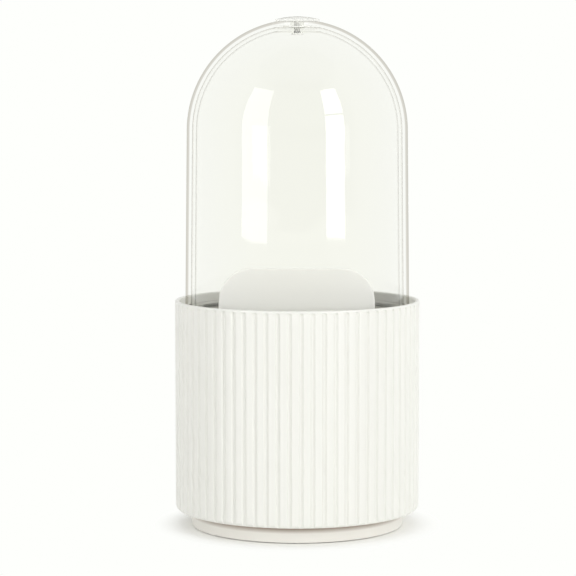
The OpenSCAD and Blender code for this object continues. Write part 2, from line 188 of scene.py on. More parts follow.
FOOT_R, FOOT_TOP, SKIRT_R, SKIRT_LIFT, EDGE_UNDER = 54.25, 8.4, 52.25, 0.4, 6.2
WELL_R, WELL_OUT_R, DECK_TOP, DECK_LOW = 47.0, 49.0, 6.0, 3.6
RACE_R, RACE_LOW, RACE_HALF, RACE_LOW_HALF = 38.0, 4.7, 1.9, 1.1
BORE_R, COLLAR_R, COLLAR_TOP = 7.08, 10.4, 7.2
RIBS, RIB_IN, RIB_OUT, RIB_HALF, RIB_DEPTH, RIB_SINK = 8, 12.5, 48.0, 0.75, 1.2, 0.5
PADS, PAD_RING, PAD_R, PAD_TOP, PAD_WALL, PAD_CUP_LOW, PAD_CUP_TOP = 4, 48.45, 4.1, 1.6, 0.8, 0.8, 5.7
foot = turned([
    (BORE_R, DECK_LOW, 0.3), (WELL_OUT_R, DECK_LOW, 0.4), (WELL_OUT_R, EDGE_UNDER, 0.3),
    (SKIRT_R, EDGE_UNDER, 0.3), (SKIRT_R, SKIRT_LIFT, 0.3), (FOOT_R, SKIRT_LIFT, 0.4),
    (FOOT_R, FOOT_TOP, 0.9), (WELL_R, FOOT_TOP, 0.4), (WELL_R, DECK_TOP, 0.3),
    (RACE_R + RACE_HALF, DECK_TOP, 0.2), (RACE_R + RACE_LOW_HALF, RACE_LOW, 0.6),
    (RACE_R - RACE_LOW_HALF, RACE_LOW, 0.6), (RACE_R - RACE_HALF, DECK_TOP, 0.2),
    (COLLAR_R, DECK_TOP, 0.3), (COLLAR_R, COLLAR_TOP, 0.3), (BORE_R, COLLAR_TOP, 0.3)], 192)
for i in range(RIBS):
    rib = add_bar(foot, (RIB_IN, -RIB_HALF, DECK_LOW - RIB_DEPTH),
                  (RIB_OUT, RIB_HALF, DECK_LOW + RIB_SINK), 0.2)
    bmesh.ops.rotate(foot, verts=rib, cent=(0, 0, 0), matrix=Matrix.Rotation(math.tau * i / RIBS, 3, "Z"))
for i in range(PADS):
    pad_cup = turned([
        (0, PAD_TOP, 0), (PAD_R, PAD_TOP, 0.2), (PAD_R, PAD_CUP_LOW, 0.2),
        (PAD_R + PAD_WALL, PAD_CUP_LOW, 0.2), (PAD_R + PAD_WALL, PAD_CUP_TOP, 0),
        (0, PAD_CUP_TOP, 0)], 32)
    at = Matrix.Rotation(math.tau * (i + 0.5) / PADS, 4, "Z") @ Matrix.Translation((PAD_RING * MM, 0, 0))
    bmesh.ops.transform(pad_cup, matrix=at, verts=pad_cup.verts)
    add_part(foot, pad_cup)
# painted shade: the foot's top is darkened where the cup's edge overhangs it
foot_abs = moulded_abs("foot_moulded_abs", linear("f1efea"), linear("ece9e3"), (4.9, 7.4))
foot = piece("foot_moulding", foot, foot_abs)
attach(foot, "base")
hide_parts("base_foot")

# moulded thermoplastic rubber: dull, dark, slightly dusty
rubber = new_material("moulded_rubber")
place = add_node(rubber, "TexCoord").outputs["Object"]
dust_and_painted_shade = add_node(rubber, "TexNoise", {"Vector": place, "Scale": 1 / (1.5 * MM), "Detail": 4.0})
tone = add_node(rubber, "ValToRGB", {"Fac": dust_and_painted_shade.outputs["Fac"]})
tone.color_ramp.elements[0].color = linear("4a4743")
tone.color_ramp.elements[1].color = linear("66625c")
skin = add_node(rubber, "Bump", {"Height": dust_and_painted_shade.outputs["Fac"], "Strength": 0.4, "Distance": 0.03 * MM})
shader = add_node(rubber, "BsdfPrincipled", {"Base Color": tone.outputs["Color"], "Roughness": 0.75,
                                             "Normal": skin.outputs["Normal"], "IOR": 1.5})
add_node(rubber, "OutputMaterial", {"Surface": shader.outputs["BSDF"]})
paint("rubber_feet", rubber)


# ---- Ball bearing ----
# Sixteen ground steel balls, spaced by a flat moulded acetal cage, run in the grooves of the
# foot and the swivel plate and carry the cup.

def bright_steel(name, tone_low, tone_high, mark, roughness):
    """Steel with fine working marks mark mm apart: bright, with softly streaked reflections."""
    made = new_material(name)
    place = add_node(made, "TexCoord").outputs["Object"]
    marks = add_node(made, "TexNoise", {"Vector": place, "Scale": 1 / (mark * MM), "Detail": 5.0})
    tone = add_node(made, "ValToRGB", {"Fac": marks.outputs["Fac"]})
    tone.color_ramp.elements[0].color = linear(tone_low)
    tone.color_ramp.elements[1].color = linear(tone_high)
    sheen = add_node(made, "MapRange", {"Value": marks.outputs["Fac"], "To Min": roughness * 0.7,
                                        "To Max": roughness * 1.3})
    shader = add_node(made, "BsdfPrincipled", {"Base Color": tone.outputs["Color"], "Metallic": 1.0,
                                               "Roughness": sheen.outputs["Result"]})
    add_node(made, "OutputMaterial", {"Surface": shader.outputs["BSDF"]})
    return made


def moulded_acetal(name):
    """Natural acetal, moulded: a waxy, faintly translucent off-white."""
    made = new_material(name)
    place = add_node(made, "TexCoord").outputs["Object"]
    flow = add_node(made, "TexNoise", {"Vector": place, "Scale": 1 / (4 * MM), "Detail": 2.0})
    tone = add_node(made, "ValToRGB", {"Fac": flow.outputs["Fac"]})
    tone.color_ramp.elements[0].color = linear("e6e1d4")
    tone.color_ramp.elements[1].color = linear("f1ede2")
    shader = add_node(made, "BsdfPrincipled", {"Base Color": tone.outputs["Color"], "Roughness": 0.45,
                                               "IOR": 1.48})
    add_node(made, "OutputMaterial", {"Surface": shader.outputs["BSDF"]})
    return made


acetal = moulded_acetal("natural_moulded_acetal")
paint("bearing_balls", bright_steel("ground_bearing_steel", "b9bcc0", "d3d5d8", 3.0, 0.15))
paint("ball_cage", acetal)


# ---- Cup ----
# The fluted cup: one injection moulding of white ABS with 68 round-ended flutes, a rounded rim,
# a ledge inside for the seat ring, rails for the dividers and a recess below for the swivel plate.

CUP_R, MOUTH_R, RIM_Z, CUP_Z = 62.5, 60.3, 116.0, 8.9
RECESS_R, PLATE_TOP, FLOOR_Z, SEAT_Z, LEDGE_R, FLOOR_R = 45.7, 10.0, 13.6, 104.0, 59.5, 58.9
FLUTES, FLUTE_R, FLUTE_DEPTH, EDGE_R, RIM_BAND = 68, 1.1, 1.1, 0.4, 0.7
# half a flute's width at the outer skin, and where its hollow meets its soft edge
FLUTE_HALF = math.sqrt((FLUTE_R + EDGE_R) ** 2 - (FLUTE_R - FLUTE_DEPTH + EDGE_R) ** 2)
FLUTE_JOIN = FLUTE_R * FLUTE_HALF / (FLUTE_R + EDGE_R)
FLUTE_END = RIM_Z - RIM_BAND - FLUTE_HALF
# places across half a flute, in mm from its middle, and across a whole pitch
STEPS = [FLUTE_JOIN * part for part in (0.33, 0.62, 0.85, 1)]
STEPS += [FLUTE_JOIN + (FLUTE_HALF - FLUTE_JOIN) * part for part in (0.3, 0.65, 1)]
HALF_PITCH = math.pi * CUP_R / FLUTES
ACROSS = [-HALF_PITCH] + [-a for a in reversed(STEPS)] + [0] + STEPS + [HALF_PITCH]


def flute_hollow(across, z):
    """How far the wall sinks at a place on it: a round hollow with a round end and soft edges."""
    reach = math.hypot(across, max(0, z - FLUTE_END))
    if reach < FLUTE_JOIN:
        return math.sqrt(FLUTE_R ** 2 - reach ** 2) - (FLUTE_R - FLUTE_DEPTH)
    if reach < FLUTE_HALF:
        return EDGE_R - math.sqrt(EDGE_R ** 2 - (FLUTE_HALF - reach) ** 2)
    return 0


BOTTOM_ROUND, RIM_ROUND, LIP_ROUND, FLOOR_ROUND = 2.0, 0.7, 0.9, 2.0
# extra rings at both ends of the flutes keep their long shading straight
LOW_RING = CUP_Z + BOTTOM_ROUND + 0.6
end_rows = [(CUP_R, FLUTE_END + rise, 0) for rise in [-0.4, 0] + STEPS[:-1]]
cup = turned_part([
    (0, PLATE_TOP, 0), (RECESS_R, PLATE_TOP, 0.2), (RECESS_R, CUP_Z, 0.3), (CUP_R, CUP_Z, BOTTOM_ROUND),
    (CUP_R, LOW_RING, 0), *end_rows, (CUP_R, RIM_Z, RIM_ROUND), (MOUTH_R, RIM_Z, LIP_ROUND),
    (MOUTH_R, SEAT_Z, 0.2), (LEDGE_R, SEAT_Z, 0.3), (FLOOR_R, FLOOR_Z, FLOOR_ROUND), (0, FLOOR_Z, 0)],
    math.tau / FLUTES, len(ACROSS) - 1)
# the even steps of the turned pitch move to their places across it, and the outer skin sinks
OUTER_SKIN = 61.0
for v in cup.verts:
    reach = math.hypot(v.co.x, v.co.y)
    if reach > 1e-6:
        across = ACROSS[round(math.atan2(v.co.y, v.co.x) / math.tau * FLUTES * (len(ACROSS) - 1))]
        turn = math.pi / FLUTES + across / CUP_R
        if reach > OUTER_SKIN * MM:
            reach = min(reach, (CUP_R - flute_hollow(across, v.co.z / MM)) * MM)
        v.co.x, v.co.y = reach * math.cos(turn), reach * math.sin(turn)
all_round(cup, FLUTES)
# pairs of rails hold the dividers' edges
DIVIDER_MID, RAIL_OFF, RAIL_HALF, RAIL_LOW, RAIL_TOP = -16, 1.9, 0.7, FLOOR_Z - 0.2, 96.0
SIDE_RAIL_X, SIDE_RAIL_HALF, BACK_RAIL_IN, BACK_RAIL_OUT = 55.4, 2.5, 55.2, 60.2
for side in (-1, 1):
    for wall in (-1, 1):
        x, y = side * SIDE_RAIL_X, DIVIDER_MID + wall * RAIL_OFF
        add_bar(cup, (x - SIDE_RAIL_HALF, y - RAIL_HALF, RAIL_LOW),
                (x + SIDE_RAIL_HALF, y + RAIL_HALF, RAIL_TOP), 0.3)
    x = side * RAIL_OFF
    add_bar(cup, (x - RAIL_HALF, BACK_RAIL_IN, RAIL_LOW), (x + RAIL_HALF, BACK_RAIL_OUT, RAIL_TOP), 0.3)
white_abs = moulded_abs("white_moulded_abs", linear("ecece8"), linear("eaeae5"))
cup = piece("fluted_cup", cup, white_abs)
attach(cup, "cup")
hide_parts("cup_body")


# ---- Swivel plate and its screws ----
# A disc of moulded ABS, held to the cup's floor by four screws. Its hub turns in the foot's
# bore and is held from below by a washer and one larger screw, all of zinc plated steel.

screw_steel = bright_steel("zinc_plated_steel", "a9adb2", "ccd0d4", 0.6, 0.32)
paint("swivel_plate", moulded_abs("plate_moulded_abs", linear("e6e4dd"), linear("dedbd3")))
paint("plate_screws", screw_steel)
paint("pivot_screw", screw_steel)
paint("pivot_washer", screw_steel)


# ---- Dividers ----
# Two moulded ABS plates that slide down between rails: the front one stands above the rim with
# round corners and splits the cup across, the rear one splits the back in two.

def plate(points, thickness, edge, way):
    """A flat plate with rounded edges: its outline is extruded along Y, and way puts it in place."""
    bm = bmesh.new()
    outline(bm, points)
    sheet = bmesh.ops.extrude_face_region(bm, geom=bm.faces[:])["geom"]
    bmesh.ops.translate(bm, vec=(0, thickness * MM, 0),
                        verts=[g for g in sheet if isinstance(g, bmesh.types.BMVert)])
    bmesh.ops.recalc_face_normals(bm, faces=bm.faces)
    # the square edges of both faces, and not the upright ones at the outline's corners
    rim = []
    for e in bm.edges:
        if e.calc_face_angle(0) > 1.2 and abs(e.verts[0].co.y - e.verts[1].co.y) < 1e-7:
            rim.append(e)
    bmesh.ops.bevel(bm, geom=rim, affect="EDGES", offset=edge * MM, segments=3, profile=0.5, material=-1)
    bmesh.ops.transform(bm, matrix=way, verts=bm.verts)
    return bm


DIVIDER_T, DIVIDER_Y, DIVIDER_LOW, DIVIDER_TOP = 2.2, -17.1, 13.7, 133.5
LOW_HALF, HIGH_HALF, SHOULDER_Z, WEB_TOP = 56.05, 39.5, 103.0, 100.0
LOW_CUT, SHOULDER_CUT, UPPER_ROUND, GUIDE_IN, GUIDE_OUT = 2.5, 3, 17, -15.1, -11.9
front = plate([
    (LOW_HALF - LOW_CUT, DIVIDER_LOW, 0), (LOW_HALF, DIVIDER_LOW + LOW_CUT, 0),
    (LOW_HALF, SHOULDER_Z - SHOULDER_CUT, 0), (LOW_HALF - SHOULDER_CUT, SHOULDER_Z, 0),
    (HIGH_HALF, SHOULDER_Z, 0), (HIGH_HALF, DIVIDER_TOP, UPPER_ROUND),
    (-HIGH_HALF, DIVIDER_TOP, UPPER_ROUND), (-HIGH_HALF, SHOULDER_Z, 0),
    (SHOULDER_CUT - LOW_HALF, SHOULDER_Z, 0), (-LOW_HALF, SHOULDER_Z - SHOULDER_CUT, 0),
    (-LOW_HALF, DIVIDER_LOW + LOW_CUT, 0), (LOW_CUT - LOW_HALF, DIVIDER_LOW, 0)],
    DIVIDER_T, 0.75, Matrix.Translation((0, DIVIDER_Y * MM, 0)))
# two rails on its back take the rear divider's edge
for side in (-1, 1):
    x = side * RAIL_OFF
    add_bar(front, (x - RAIL_HALF, GUIDE_IN, DIVIDER_LOW + 0.3), (x + RAIL_HALF, GUIDE_OUT, WEB_TOP), 0.3)
# painted light: the dividers are the cup's white ABS drawn lighter, to make up for the dimmer light they
# get inside the dome
lightened_divider_abs = moulded_abs("divider_moulded_abs", linear("fdfdfc"), linear("fafaf9"))
front = piece("front_divider_plate", front, lightened_divider_abs, 12)
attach(front, "cup")
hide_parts("front_divider")

REAR_FROM, REAR_TO, REAR_CUT = -14.8, 58.4, 3.5
rear = plate([
    (REAR_FROM, DIVIDER_LOW, 0), (REAR_TO - REAR_CUT, DIVIDER_LOW, 0), (REAR_TO, DIVIDER_LOW + REAR_CUT, 0),
    (REAR_TO, WEB_TOP, 0.8), (REAR_FROM, WEB_TOP, 0.8)], DIVIDER_T, 0.6,
    Matrix.Rotation(math.radians(90), 4, "Z") @ Matrix.Translation((0, -DIVIDER_T / 2 * MM, 0)))
rear = piece("rear_divider_plate", rear, lightened_divider_abs, 12)
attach(rear, "cup")
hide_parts("rear_divider")


# ---- Seat ring ----
# A ring moulded in white ABS and pressed into the cup's mouth onto its ledge, with a low collar
# that centres the dome.

SEAT_IN_R, SEAT_OUT_R, SEAT_TOP, COLLAR_IN_R, SEAT_COLLAR_TOP = 50.7, 60.2, 108.0, 57.55, 109.8
seat = turned([
    (SEAT_IN_R, SEAT_Z, 0.3), (SEAT_OUT_R, SEAT_Z, 0.3), (SEAT_OUT_R, SEAT_COLLAR_TOP, 0.4),
    (COLLAR_IN_R, SEAT_COLLAR_TOP, 0.4), (COLLAR_IN_R, SEAT_TOP, 0.2), (SEAT_IN_R, SEAT_TOP, 0.4)], 256)
seat = piece("seat_ring_moulding", seat, white_abs)
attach(seat, "cup")
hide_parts("seat_ring")


# ---- Dome ring and rear shell ----
# The dome's fixed half: a ring with a channel that the door runs in, and the rear shell bonded
# on its outer wall. Both are clear polystyrene, moulded in polished steel.

def clear_polystyrene(name, tints, most_shine, ior=1.55):
    """Clear polystyrene from a polished mould: water clear face on, grey where the sight line
    runs along the wall, with crisp window reflections. tints run from face on to edge on, and
    most_shine caps the reflection."""
    made = new_material(name)
    turn_away = add_node(made, "LayerWeight", {"Blend": 0.5})
    tint = add_node(made, "ValToRGB", {"Fac": turn_away.outputs["Facing"]})
    ramp = tint.color_ramp.elements
    for at, code in tints[1:-1]:
        ramp.new(at).color = linear(code)
    ramp[0].color, ramp[len(ramp) - 1].color = linear(tints[0][1]), linear(tints[-1][1])
    clear = add_node(made, "BsdfTransparent", {"Color": tint.outputs["Color"]})
    place = add_node(made, "TexCoord").outputs["Object"]
    # slow ripple left by the cooling moulding
    ripple = add_node(made, "TexNoise", {"Vector": place, "Scale": 1 / (30 * MM), "Detail": 1.0})
    skin = add_node(made, "Bump", {"Height": ripple.outputs["Fac"], "Strength": 0.5, "Distance": 0.35 * MM})
    shine = add_node(made, "BsdfGlossy", {"Color": linear("fdfdfc"), "Roughness": 0.03,
                                          "Normal": skin.outputs["Normal"]})
    mirror = add_node(made, "Fresnel", {"IOR": ior, "Normal": skin.outputs["Normal"]})
    share = add_node(made, "Math", {0: mirror.outputs["Fac"], 1: most_shine}, operation="MINIMUM")
    # a wall mirrors once, on the side that faces the eye
    behind = add_node(made, "NewGeometry").outputs["Backfacing"]
    facing = add_node(made, "Math", {0: 1.0, 1: behind}, operation="SUBTRACT")
    share = add_node(made, "Math", {0: share.outputs["Value"], 1: facing.outputs["Value"]},
                     operation="MULTIPLY")
    both = add_node(made, "MixShader", {0: share.outputs["Value"], 1: clear.outputs["BSDF"],
                                        2: shine.outputs["BSDF"]})
    # light reaches what stands inside through the walls
    lit = add_node(made, "LightPath").outputs["Is Shadow Ray"]
    passed = add_node(made, "BsdfTransparent", {"Color": linear("fefefe")})
    whole = add_node(made, "MixShader", {0: lit, 1: both.outputs["Shader"], 2: passed.outputs["BSDF"]})
    add_node(made, "OutputMaterial", {"Surface": whole.outputs["Shader"]})
    return made


def add_skin(bm, low_r, top_r, low_z, end_r, tail):
    """One face of a dome as a line in the XZ plane: up the side, over the top to end_r, then
    along tail."""
    tip = bm.verts.new((low_r * MM, 0, low_z * MM))

    def draw_to(tip, x, z):
        tip = bmesh.ops.extrude_vert_indiv(bm, verts=[tip])["verts"][0]
        tip.co = (x * MM, 0, z * MM)
        return tip

    # rings close to both ends keep the long wall's shading straight
    for part in (END_RING, 0.5, 1 - END_RING, 1):
        tip = draw_to(tip, low_r + (top_r - low_r) * part, low_z + (DOME_Z - low_z) * part)
    tab, end = math.acos(TAB_R / top_r), math.acos(end_r / top_r)
    for angle, steps in ((tab, ARC_STEPS), (end - tab, 2)):
        arc = bmesh.ops.spin(bm, geom=[tip], cent=(0, 0, DOME_Z * MM), axis=(0, -1, 0),
                             angle=angle, steps=steps)
        tip = next(g for g in arc["geom_last"] if isinstance(g, bmesh.types.BMVert))
    for x, z in tail:
        tip = draw_to(tip, x, z)


def half_dome(low_r, top_r, low_z, side, outer_end, inner_end):
    """Half a domed shell with a whole round tab at the top: two turned skins, trimmed at the
    cut plane and joined along their edges. An end is the radius where a skin's round stops, and
    the points of the flat pole and the bore that follow."""
    bm = bmesh.new()
    add_skin(bm, low_r, top_r, low_z, *outer_end)
    add_skin(bm, low_r - SHELL_T, top_r - SHELL_T, low_z, *inner_end)
    bmesh.ops.spin(bm, geom=bm.verts[:] + bm.edges[:], cent=(0, 0, 0), axis=(0, 0, 1),
                   angle=math.tau / SECTORS, steps=SHELL_STEPS // SECTORS)
    all_round(bm, SECTORS)
    cut = -side * OVERLAP * MM
    bmesh.ops.bisect_plane(bm, geom=bm.verts[:] + bm.edges[:] + bm.faces[:], dist=1e-8,
                           plane_co=(0, cut, 0), plane_no=(0, 1, 0))
    beyond = []
    for f in bm.faces:
        middle = f.calc_center_median()
        if side * (middle.y - cut) < 0 and math.hypot(middle.x, middle.y) > TAB_R * MM:
            beyond.append(f)
    bmesh.ops.delete(bm, geom=beyond, context="FACES")
    # the two skins are joined round the bore and along the trimmed edge
    bore, trimmed = [], []
    for e in bm.edges:
        if e.is_boundary:
            (bore if math.hypot(*e.verts[0].co.xy) < BORE_WITHIN * MM else trimmed).append(e)
    bmesh.ops.bridge_loops(bm, edges=bore)
    bmesh.ops.bridge_loops(bm, edges=trimmed)
    bmesh.ops.recalc_face_normals(bm, faces=bm.faces)
    sharp = [e for e in bm.edges if e.calc_face_angle(0) > 0.9]
    bmesh.ops.bevel(bm, geom=sharp, affect="EDGES", offset=0.3 * MM, segments=2, profile=0.5,
                    material=-1, clamp_overlap=True)
    return bm


def mark_skins(bm, middle_r):
    """Puts the outer skin in the second material slot, and the flats and cut edges in the third."""
    for f in bm.faces:
        at = f.calc_center_median() / MM
        radius = math.hypot(at.x, at.y) if at.z < DOME_Z else (at - Vector((0, 0, DOME_Z))).length
        if abs(f.normal.z) > 0.985 or abs(f.normal.y) > 0.999 and abs(at.y) < 4:
            f.material_index = 2
        elif radius > middle_r:
            f.material_index = 1


DOME_Z, SHELL_T, OVERLAP, TAB_R, BORE_WITHIN = 202.3, 2.0, 2.0, 13.0, 5
SHELL_STEPS, ARC_STEPS, END_RING = 256, 40, 0.015
REAR_LOW_R, REAR_TOP_R, REAR_FLAT, REAR_BORE_R = 57.25, 56.2, 257.3, 3.58
RING_IN_R, RING_LOW, RING_TOP, LIP_TOP = 50.9, 108.3, 112.1, 111.7
CHANNEL_OUT_R, CHANNEL_IN_R, CHANNEL_Z = 54.8, 52.1, 109.5
clear = clear_polystyrene("clear_moulded_polystyrene", [
    (0.0, "fdfdfb"), (0.5, "fdfdfc"), (0.8, "fefefd"), (0.89, "e4e2df"), (1.0, "bcb9b4")], 0.30)
clear_edge = clear_polystyrene("clear_polystyrene_outer_skin", [
    (0.0, "fdfdfb"), (0.5, "fdfdfc"), (0.76, "fefefd"), (0.80, "dcd9d4"), (1.0, "c9c6c0")], 0.30)
# the inner skins and the flats add little shine of their own
clear_inner = clear_polystyrene("clear_polystyrene_inner_skin", [
    (0.0, "fdfdfb"), (0.5, "fdfdfc"), (0.8, "fefefd"), (0.89, "e6e5e2"), (1.0, "d0cfcb")], 0.20, 1.3)
clear_flat = clear_polystyrene("clear_polystyrene_flats", [
    (0.0, "fdfdfc"), (0.9, "fdfdfc"), (1.0, "f8f8f7")], 0.12, 1.3)
shell = half_dome(REAR_LOW_R, REAR_TOP_R, RING_TOP, 1,
                  (11.55, [(11.3, REAR_FLAT), (REAR_BORE_R, REAR_FLAT)]),
                  (11.34, [(11.1, REAR_FLAT - SHELL_T), (REAR_BORE_R, REAR_FLAT - SHELL_T)]))
mark_skins(shell, REAR_TOP_R - SHELL_T / 2)
shell = piece("rear_shell_moulding", shell, [clear_flat, clear_edge, clear_flat])
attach(shell, "dome")
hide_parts("rear_shell")

ring = turned([
    (RING_IN_R, RING_LOW, 0.3), (REAR_LOW_R, RING_LOW, 0.3), (REAR_LOW_R, RING_TOP, 0),
    (CHANNEL_OUT_R, RING_TOP, 0.3), (CHANNEL_OUT_R, CHANNEL_Z, 0.3), (CHANNEL_IN_R, CHANNEL_Z, 0.3),
    (CHANNEL_IN_R, LIP_TOP, 0.3), (RING_IN_R, LIP_TOP, 0.3)], SHELL_STEPS)
# the door's stop, a short block that fills the channel and sinks a little into its walls
STOP_FROM, STOP_WIDTH, STOP_SINK = math.radians(173.3), math.radians(4), 0.1
stop = bmesh.new()
outline(stop, [
    (CHANNEL_IN_R - STOP_SINK, CHANNEL_Z - STOP_SINK, 0),
    (CHANNEL_OUT_R + STOP_SINK, CHANNEL_Z - STOP_SINK, 0),
    (CHANNEL_OUT_R + STOP_SINK, LIP_TOP, 0.3), (CHANNEL_IN_R - STOP_SINK, LIP_TOP, 0.3)])
bmesh.ops.rotate(stop, verts=stop.verts, cent=(0, 0, 0), matrix=Matrix.Rotation(STOP_FROM, 3, "Z"))
bmesh.ops.spin(stop, geom=stop.verts[:] + stop.edges[:] + stop.faces[:], cent=(0, 0, 0), axis=(0, 0, 1),
               angle=STOP_WIDTH, steps=3)
bmesh.ops.recalc_face_normals(stop, faces=stop.faces)
add_part(ring, stop)
ring = piece("dome_ring_moulding", ring, clear)
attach(ring, "dome")
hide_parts("dome_ring")


# ---- Pivot spacer ----
# A thin washer of natural polyamide, punched from sheet, that keeps the door's top clear of
# the rear shell.

# natural polyamide sheet is milky and a little waxy, with a faint haze
milky = new_material("natural_polyamide")
place = add_node(milky, "TexCoord").outputs["Object"]
haze = add_node(milky, "TexNoise", {"Vector": place, "Scale": 1 / (2 * MM), "Detail": 2.0})
tone = add_node(milky, "ValToRGB", {"Fac": haze.outputs["Fac"]})
tone.color_ramp.elements[0].color = linear("f6f6f3")
tone.color_ramp.elements[1].color = linear("fcfcfa")
shader = add_node(milky, "BsdfPrincipled", {"Base Color": tone.outputs["Color"], "Roughness": 0.35,
                                            "IOR": 1.53})
add_node(milky, "OutputMaterial", {"Surface": shader.outputs["BSDF"]})
paint("pivot_spacer", milky)


# ---- Door ----
# The dome's moving half: a smaller shell, moulded in clear polystyrene. It hangs from the knob's
# stem, which is keyed into a shallow socket in its flat top.

DOOR_LOW_R, DOOR_TOP_R, DOOR_LOW, DOOR_FLAT = 54.45, 53.4, 109.8, 254.5
SOCKET_R, SOCKET_Z, DOOR_BORE_R = 3.6, DOOR_FLAT - 0.8, 1.6
door = half_dome(DOOR_LOW_R, DOOR_TOP_R, DOOR_LOW, -1,
                 (11.26, [(11.0, DOOR_FLAT), (SOCKET_R, DOOR_FLAT), (SOCKET_R, SOCKET_Z),
                          (DOOR_BORE_R, SOCKET_Z)]),
                 (11.04, [(10.8, DOOR_FLAT - SHELL_T), (DOOR_BORE_R, DOOR_FLAT - SHELL_T)]))
mark_skins(door, DOOR_TOP_R - SHELL_T / 2)
door = piece("door_shell_moulding", door, [clear_inner, clear, clear_flat])
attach(door, "door")
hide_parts("door_shell")


# ---- Knob ----
# A low domed cap with grip notches round its edge and a keyed stem, moulded in frosted
# polystyrene. A clear washer and a screw of natural polyamide clamp it to the door from inside.

KNOB_R, KNOB_TOP, KNOB_LOW, NOTCHES, NOTCH_R = 11.25, 260.0, 257.6, 48, 0.45
CROWN_R, CROWN_LOW, CROWN_RINGS = 42.94, 258.5, (10.2, 8.5, 6.5, 4.5, 2.5, 1.0)
STEM_R, STEM_LOW, KEY_HALF, HOLE_R, HOLE_TOP = 3.5, 253.7, 2.8, 1.55, 258.8


def over_sphere(radius, top, r):
    """Height of a sphere's surface at a distance from the axis."""
    return top - radius + math.sqrt(radius ** 2 - r ** 2)


knob = turned_part([
    (0, HOLE_TOP, 0), (HOLE_R, HOLE_TOP, 0), (HOLE_R, STEM_LOW, 0.1), (STEM_R, STEM_LOW, 0.1),
    (STEM_R, DOOR_FLAT, 0), (STEM_R, KNOB_LOW, 0.2), (KNOB_R, KNOB_LOW, 0.2), (KNOB_R, CROWN_LOW, 0.3),
    *[(r, over_sphere(CROWN_R, KNOB_TOP, r), 0) for r in CROWN_RINGS],
    (0, KNOB_TOP, 0)], math.tau / NOTCHES, 8)
# one notch is sunk into the edge of the turned part, which is then repeated all round
for v in knob.verts:
    reach = math.hypot(v.co.x, v.co.y) / MM
    if reach > KNOB_R - 0.75:
        across = (math.atan2(v.co.y, v.co.x) - math.pi / NOTCHES) * KNOB_R
        wanted = KNOB_R - math.sqrt(max(0, NOTCH_R ** 2 - across ** 2))
        if wanted < reach:
            v.co.x, v.co.y = v.co.x * wanted / reach, v.co.y * wanted / reach
all_round(knob, NOTCHES)
# the stem's end has two flats that key it into the door's socket
for v in knob.verts:
    if v.co.z < (DOOR_FLAT - 0.1) * MM and v.co.xy.length > 3 * MM:
        v.co.x = max(-KEY_HALF * MM, min(KEY_HALF * MM, v.co.x))
# frosted polystyrene, from an etched mould: misty, with no glint, and grey along its edges
frosted = new_material("frosted_moulded_polystyrene")
place = add_node(frosted, "TexCoord").outputs["Object"]
# the etched texture is about 0.1 mm; it is drawn at 0.5 mm so that it shows
etch = add_node(frosted, "TexNoise", {"Vector": place, "Scale": 1 / (0.5 * MM), "Detail": 3.0})
skin = add_node(frosted, "Bump", {"Height": etch.outputs["Fac"], "Strength": 0.4, "Distance": 0.02 * MM})
turn_away = add_node(frosted, "LayerWeight", {"Blend": 0.5})
tint = add_node(frosted, "ValToRGB", {"Fac": turn_away.outputs["Facing"]})
tint.color_ramp.elements.new(0.85).color = linear("fafaf9")
tint.color_ramp.elements[0].color, tint.color_ramp.elements[2].color = linear("ffffff"), linear("bab7b2")
seen = add_node(frosted, "BsdfTransparent", {"Color": tint.outputs["Color"]})
bloom = add_node(frosted, "BsdfDiffuse", {"Color": linear("fafaf7"), "Normal": skin.outputs["Normal"]})
both = add_node(frosted, "MixShader", {0: 0.3, 1: seen.outputs["BSDF"], 2: bloom.outputs["BSDF"]})
# it scatters light but lets it through, so it leaves no shadow on the pieces below it
ray = add_node(frosted, "LightPath")
lit_through = add_node(frosted, "MixShader", {0: ray.outputs["Is Shadow Ray"], 1: both.outputs["Shader"],
                                             2: add_node(frosted, "BsdfTransparent").outputs["BSDF"]})
add_node(frosted, "OutputMaterial", {"Surface": lit_through.outputs["Shader"]})
# the cap is frosted and the stem clear, and the hole looks like the screw that fills it
for f in knob.faces:
    at = f.calc_center_median() / MM
    if at.xy.length < HOLE_R + 0.05 and at.z < HOLE_TOP + 0.2:
        f.material_index = 2
    elif at.z < KNOB_LOW - 0.1:
        f.material_index = 1
knob = piece("knob_cap", knob, [frosted, clear_flat, milky])
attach(knob, "door")
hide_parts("knob")
paint("knob_washer", clear_flat)
paint("knob_screw", milky)


# ---- Studio ----
# A pale floor that runs into a white surround, two tall windows in front, soft panels at the
# front and the sides, and a soft light above.

BACKDROP, SHADOW_FROM, SHADOW_TO = linear("fefffc"), 0.05, 0.074
floor = bmesh.new()
bmesh.ops.create_grid(floor, x_segments=8, y_segments=8, size=4.0)
# matt paper is plain and even, with no sheen
floor_finish = new_material("matt_paper_floor")
place = add_node(floor_finish, "TexCoord").outputs["Object"]
away = add_node(floor_finish, "VectorMath", {0: place}, operation="LENGTH")
# the object's shadow shows near its foot, and farther out the floor is as white as the surround
fade = add_node(floor_finish, "MapRange", {"Value": away.outputs["Value"], "From Min": SHADOW_FROM,
                                           "From Max": SHADOW_TO}, interpolation_type="SMOOTHSTEP")
path = add_node(floor_finish, "LightPath")
seen = add_node(floor_finish, "Math", {0: path.outputs["Is Camera Ray"], 1: path.outputs["Is Glossy Ray"]},
                operation="MAXIMUM")
seen = add_node(floor_finish, "Math", {0: seen.outputs[0], 1: path.outputs["Is Transmission Ray"]},
                operation="MAXIMUM")
share = add_node(floor_finish, "Math", {0: seen.outputs[0], 1: fade.outputs["Result"]},
                 operation="MULTIPLY")
paper = add_node(floor_finish, "BsdfDiffuse", {"Color": linear("fdfdfa")})
white = add_node(floor_finish, "Emission", {"Color": BACKDROP, "Strength": 1.0})
both = add_node(floor_finish, "MixShader", {0: share.outputs[0], 1: paper.outputs["BSDF"],
                                            2: white.outputs["Emission"]})
